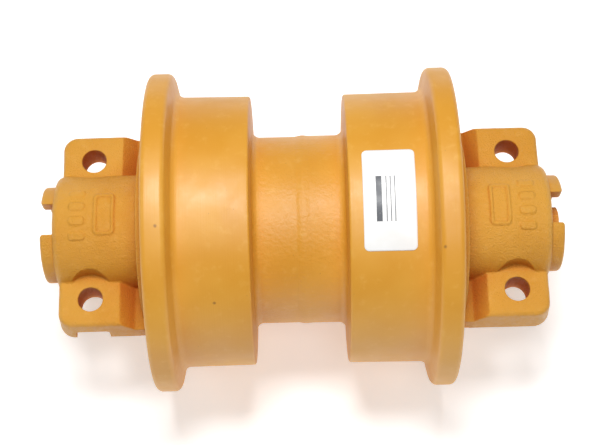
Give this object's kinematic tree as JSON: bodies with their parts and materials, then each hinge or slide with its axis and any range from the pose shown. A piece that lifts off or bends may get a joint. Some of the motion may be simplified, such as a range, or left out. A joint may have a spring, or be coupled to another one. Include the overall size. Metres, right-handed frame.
{
  "type": "track roller",
  "caption": "Single-flange crawler track roller: welded forged shell turning on a fixed shaft, with bolt-on cast end collars, face seals and a filler plug.",
  "frame": {"origin": "on the shaft axis, midway between the ends of the two end collars", "axes": "+X along the shaft towards the end with the filler plug, +Z towards the domed side of the end collars, -Z towards the track frame the collars bolt to"},
  "size_m": [0.314, 0.1944, 0.1944],
  "materials": {
    "shell_paint": "satin",
    "collar_paint": "satin over sand-cast texture",
    "plug_paint": "satin",
    "shaft_steel": "ground",
    "bushing_steel": "turned",
    "bronze": "turned",
    "seal_iron": "lapped",
    "seal_rubber": "matte",
    "washer_metal": "soft",
    "label_sheet": "printed sheet"
  },
  "bodies": {
    "frame_side": {"shaft": "shaft_steel", "collar_left": "collar_paint", "collar_right": "collar_paint", "lock_pin_left": "shaft_steel", "lock_pin_right": "shaft_steel", "oil_plug": "plug_paint", "plug_washer": "washer_metal", "seal_ring_fixed_left": "seal_iron", "toric_fixed_left": "seal_rubber", "shaft_oring_left": "seal_rubber", "seal_ring_fixed_right": "seal_iron", "toric_fixed_right": "seal_rubber", "shaft_oring_right": "seal_rubber"},
    "roller": {"shell_left": "shell_paint", "shell_right": "shell_paint", "weld_bead": "shell_paint", "label": "label_sheet", "bushing_left": "bushing_steel", "bushing_lining_left": "bronze", "seal_ring_turning_left": "seal_iron", "toric_turning_left": "seal_rubber", "bushing_right": "bushing_steel", "bushing_lining_right": "bronze", "seal_ring_turning_right": "seal_iron", "toric_turning_right": "seal_rubber"}
  },
  "joints": [
    {"name": "roller_spin", "type": "hinge", "parent": "frame_side", "child": "roller", "pos_m": [0, 0, 0], "axis": [1, 0, 0], "continuous": true}
  ]
}
